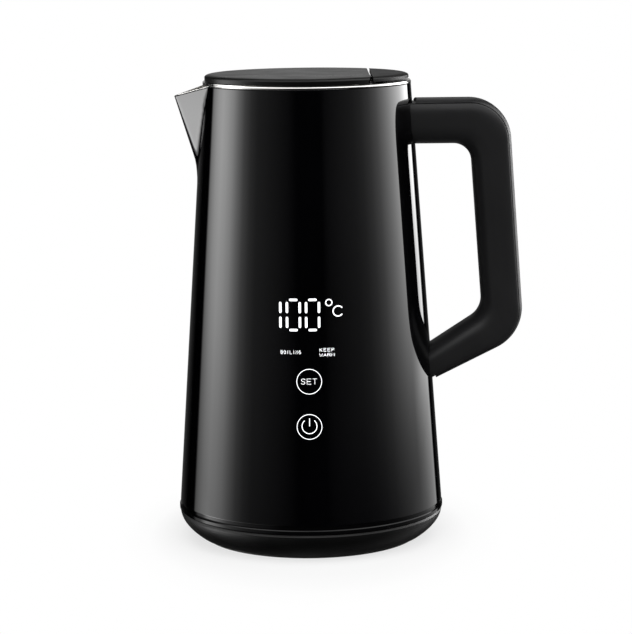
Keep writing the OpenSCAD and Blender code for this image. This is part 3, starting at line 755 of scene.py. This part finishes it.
def digit(verts, faces, cx, segments):
    """A seven-segment numeral with open corners: a, d across its top and foot, b, c, e, f up its sides."""
    middle, width = 129.85, 1.25
    # half a bar's length, how far the bars and the sides are from the middle, and the sides' two ends
    bar, reach, half = 1.55, 7.75, 3.3
    low, high = 1.55, 6.05
    ends = {"a": (-bar, reach, bar, reach), "d": (-bar, -reach, bar, -reach),
            "f": (-half, high, -half, low), "b": (half, high, half, low),
            "e": (-half, -low, -half, -high), "c": (half, -low, half, -high)}
    for segment in segments:
        x0, z0, x1, z1 = ends[segment]
        stroke(verts, faces, between((cx + x0, middle + z0), (cx + x1, middle + z1), 8), width)


# the rings of the two touch keys
KEY_R = 6.4
KEY_LINE = 0.3
KEY_STEPS = 72


def numerals(verts, faces):
    digit(verts, faces, -18.05, "bc")
    digit(verts, faces, -8.05, "abcdef")
    digit(verts, faces, 1.8, "abcdef")


def degree(verts, faces):
    ring_mark(verts, faces, 10.2, 136.0, 1.6, 0.55, 40)
    stroke(verts, faces, arc(14.95, 131.5, 2.6, 30, 42, 318), 0.6)


def set_key(verts, faces):
    ring_mark(verts, faces, -0.3, 95.5, KEY_R, KEY_LINE, KEY_STEPS)
    word(verts, faces, "SET", -4.9, 4.1, 94.2, 2.75, 0.23, 0.68)


def power_key(verts, faces):
    ring_mark(verts, faces, -0.4, 72.1, KEY_R, KEY_LINE, KEY_STEPS)
    stroke(verts, faces, arc(-0.4, 72.45, 3.85, 40, 133, 407), 0.4)
    stroke(verts, faces, between((-0.35, 76.3), (-0.35, 72.6), 5), 0.42)


def words(verts, faces):
    word(verts, faces, "BOILING", -15.0, -4.2, 109.8, 1.75, 0.1, 0.6)
    word(verts, faces, "KEEP", 4.9, 13.1, 110.95, 1.55, 0.11, 0.6)
    word(verts, faces, "WARM", 4.9, 13.1, 108.4, 1.55, 0.11, 0.72)


MARKS = (("mark_numerals", numerals, glow), ("mark_degree", degree, glow), ("mark_set", set_key, glow),
         ("mark_power", power_key, glow), ("mark_words", words, glow_small))
for mark_name, draw, mark_light in MARKS:
    mark_verts, mark_faces = [], []
    draw(mark_verts, mark_faces)
    mark = add_mesh(mark_name, mark_verts, mark_faces, mark_light, smooth=False)
    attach(mark, "kettle")

# ---------------------------------------------------------------- studio
# What glossy surfaces mirror: each light's brightness by azimuth, in degrees from the front and positive
# to the right, and the share of it that is left at each elevation.
LEFT = ([(-180, 0.0), (-124, 0.0), (-122, 1.4), (-118, 2.2), (-110, 3.9), (-102, 5.2), (-94, 5.1),
         (-86, 4.2), (-78, 2.4), (-70, 1.05), (-62, 0.5), (-54, 0.27), (-38, 0.16), (-20, 0.06),
         (-11, 0.0)],
        [(-60, 0.0), (-30, 0.1), (-14, 0.38), (-8.4, 0.44), (-6.5, 0.55), (-3.7, 0.8), (0, 1.0),
         (9, 1.0), (14, 0.3), (35, 0.3), (60, 0.2)])
RIGHT = ([(14, 0.0), (20, 0.06), (40, 0.16), (50, 0.22), (60, 0.36), (70, 0.68), (80, 1.3), (90, 2.5),
          (98, 3.6), (106, 4.8), (114, 5.6), (122, 6.2), (130, 7.8), (141, 8.6), (144, 9.5),
          (145.5, 0.0)],
         [(-60, 0.0), (-20, 0.07), (-8.3, 0.11), (-7.4, 0.15), (-6.5, 0.22), (-5.3, 0.35), (-3.6, 0.58),
          (-2.2, 0.67), (0, 0.85), (2, 1.0), (9, 1.0), (14, 0.3), (35, 0.3), (60, 0.2)])
LOW = ([(-112, 0.0), (-104, 5.9), (-92, 5.7), (-80, 2.0), (-60, 0.8), (-25, 0.0)],
       [(-36, 0.0), (-32, 1.0), (-15.5, 1.0), (-9, 0.0)])
BACK = ([(-180, 0.9), (-168, 0.1), (-140, 0.0), (150, 0.0), (166, 0.05), (176, 0.6), (180, 0.9)],
        [(-30, 0.3), (-2, 1.0), (1, 0.35), (4, 0.5), (30, 0.5), (50, 0.2)])
TOP = ([(-130, 0.0), (-115, 2.2), (115, 2.2), (130, 0.0)],
       [(20, 0.0), (30, 1.0), (90, 1.0)])
FAR = ([(112, 0.0), (122, 0.8), (130, 1.2), (142, 1.7), (144, 2.4), (145.5, 0.0)],
       [(-10, 0.1), (-8.7, 0.3), (-7.8, 0.6), (-6.9, 1.0), (-6, 0.85), (-5, 0.3), (-4, 0.0)])
# the ramps hold the brightness divided by this, and the background's strength gives it back
BRIGHTEST = 10.0
# the fill light on matt surfaces, by how far a direction is from its main one, which is the front,
# a little from above and from the right
FILL_STRENGTH = 1.7
FILL_BY_DEPTH = [(0.0, 1.0), (0.12, 0.95), (0.25, 0.6), (0.45, 0.06), (0.75, 0.04), (1.0, 0.04)]
# the share of painted white glow in the floor as the camera sees it, the rest being its lit shading and the
# kettle's shadow, by five times its distance from the axis in metres, in which its depth counts for less
FLOOR_PAINTED_WHITE = [(0.31, 0.70), (0.375, 0.80), (0.44, 0.95), (0.525, 1.0)]
FLOOR_SQUASH = (1.0, 0.68, 1.0)
WHITE = (1, 1, 1, 1)


def mirrored_lights(tree, sx, sy, sz):
    """The colour of all the lights together in the direction (sx, sy, sz)."""
    azimuth = math_node(tree, "ARCTAN2", sx, math_node(tree, "MULTIPLY", sy, -1.0))
    elevation = math_node(tree, "ARCSINE", sz)
    azimuth = math_node(tree, "ADD", math_node(tree, "MULTIPLY", azimuth, 1 / (2 * math.pi)), 0.5)
    elevation = math_node(tree, "ADD", math_node(tree, "MULTIPLY", elevation, 1 / math.pi), 0.5)
    total = None
    for by_azimuth, by_elevation in (LEFT, RIGHT, LOW, BACK, TOP, FAR):
        round_stops = [((a + 180) / 360, v / BRIGHTEST) for a, v in by_azimuth]
        up_stops = [((e + 90) / 180, v) for e, v in by_elevation]
        light = blend(tree, "MULTIPLY", ramp(tree, azimuth, round_stops), ramp(tree, elevation, up_stops))
        total = light if total is None else blend(tree, "ADD", total, light)
    return total


def build_world(world):
    """Lights for glossy rays, a soft fill for the others, and plain white for the camera and glass."""
    world.use_nodes = True
    tree = world.node_tree
    tree.nodes.clear()
    coordinates = node(tree, "ShaderNodeTexCoord")
    direction = node(tree, "ShaderNodeSeparateXYZ")
    tree.links.new(coordinates.outputs["Generated"], direction.inputs[0])
    sx, sy, sz = direction.outputs
    lights = node(tree, "ShaderNodeBackground", in_1=BRIGHTEST)
    tree.links.new(mirrored_lights(tree, sx, sy, sz), lights.inputs[0])
    depth = math_node(tree, "MULTIPLY_ADD", sy, 0.4, 0.5)
    depth = math_node(tree, "MULTIPLY_ADD", sx, -0.22, depth)
    depth = math_node(tree, "MULTIPLY_ADD", sz, -0.18, depth)
    fill = node(tree, "ShaderNodeBackground", in_1=FILL_STRENGTH)
    tree.links.new(ramp(tree, depth, FILL_BY_DEPTH), fill.inputs[0])
    white = node(tree, "ShaderNodeBackground", in_0=WHITE, in_1=1.0)
    rays = node(tree, "ShaderNodeLightPath")
    by_gloss = mix_shader(tree, rays.outputs["Is Glossy Ray"], fill, lights)
    seen = math_node(tree, "MAXIMUM", rays.outputs["Is Camera Ray"], rays.outputs["Is Transmission Ray"])
    out = node(tree, "ShaderNodeOutputWorld")
    tree.links.new(mix_shader(tree, seen, by_gloss, white).outputs[0], out.inputs[0])


def floor_material():
    """Pale, with a painted white glow that covers its lit shading and shadow more with distance until it
    matches the white background, and not mirrored by the kettle.
    """
    material, tree, out = bare_material("floor_pale")
    diffuse = node(tree, "ShaderNodeBsdfDiffuse", in_0=(0.86, 0.86, 0.86, 1))
    white = node(tree, "ShaderNodeEmission", in_0=WHITE, in_1=1.0)
    clear = node(tree, "ShaderNodeBsdfTransparent")
    geometry = node(tree, "ShaderNodeNewGeometry")
    squash = node(tree, "ShaderNodeVectorMath", operation="MULTIPLY", in_1=FLOOR_SQUASH)
    tree.links.new(geometry.outputs["Position"], squash.inputs[0])
    distance = node(tree, "ShaderNodeVectorMath", operation="LENGTH")
    tree.links.new(squash.outputs[0], distance.inputs[0])
    # painted light: the floor's white glow grows with distance, so the kettle's shadow fades out where this
    # ramp says
    painted_white = ramp(tree, math_node(tree, "MULTIPLY", distance.outputs["Value"], 5.0), FLOOR_PAINTED_WHITE)
    rays = node(tree, "ShaderNodeLightPath")
    painted_white_seen = math_node(tree, "MULTIPLY", painted_white, rays.outputs["Is Camera Ray"])
    faded = mix_shader(tree, painted_white_seen, diffuse, white)
    unmirrored = mix_shader(tree, rays.outputs["Is Glossy Ray"], faded, clear)
    tree.links.new(unmirrored.outputs[0], out.inputs[0])
    return material


def add_floor():
    bpy.ops.mesh.primitive_circle_add(vertices=96, radius=4.0, fill_type="NGON", location=(0, 0, 0))
    floor = bpy.context.object
    floor.name = "floor"
    floor.data.materials.append(floor_material())


def area_light(name, location, target, size, power):
    """A square lamp that glossy surfaces don't mirror, in metres and watts."""
    data = bpy.data.lights.new(name, "AREA")
    data.size = size
    data.energy = power
    obj = bpy.data.objects.new(name, data)
    obj.location = location
    obj.rotation_euler = (Vector(target) - Vector(location)).to_track_quat("-Z", "Y").to_euler()
    obj.visible_glossy = False
    bpy.context.collection.objects.link(obj)


scene = bpy.context.scene
scene.view_settings.view_transform = "Standard"
scene.world = bpy.data.worlds.new("studio")
build_world(scene.world)
add_floor()
area_light("key_top", (0.0, -0.3, 1.6), (0, 0, 0.1), 1.4, 7.0)
area_light("side_left", (-1.1, -0.5, 0.7), (0, 0, 0.12), 0.7, 2.0)

# ---------------------------------------------------------------- camera
# its distance in front of the kettle's axis and height above the table, in millimetres
CAMERA_BACK = 1294.2
CAMERA_UP = 324.9
PITCH = math.radians(9.054)
YAW = math.radians(0.165)
ROLL = math.radians(0.61)
# the focal length and the picture's longer side, in pixels
FOCAL = 2429.2
PICTURE_SIDE = 634.0
SENSOR = 36.0


def add_camera():
    data = bpy.data.cameras.new("camera")
    data.sensor_width = SENSOR
    data.sensor_fit = "AUTO"
    data.lens = FOCAL * SENSOR / PICTURE_SIDE
    obj = bpy.data.objects.new("camera", data)
    bpy.context.collection.objects.link(obj)
    right = Vector((math.cos(YAW), -math.sin(YAW), 0))
    ahead = Vector((math.sin(YAW), math.cos(YAW), 0))
    up = ahead * math.sin(PITCH) + Vector((0, 0, math.cos(PITCH)))
    look = ahead * math.cos(PITCH) - Vector((0, 0, math.sin(PITCH)))
    # turned about the view axis by the roll
    rolled_right = right * math.cos(ROLL) - up * math.sin(ROLL)
    rolled_up = right * math.sin(ROLL) + up * math.cos(ROLL)
    placed = Matrix((rolled_right, rolled_up, -look)).transposed().to_4x4()
    placed.translation = Vector((0, -CAMERA_BACK, CAMERA_UP)) * MM
    obj.matrix_world = placed
    scene.camera = obj


add_camera()
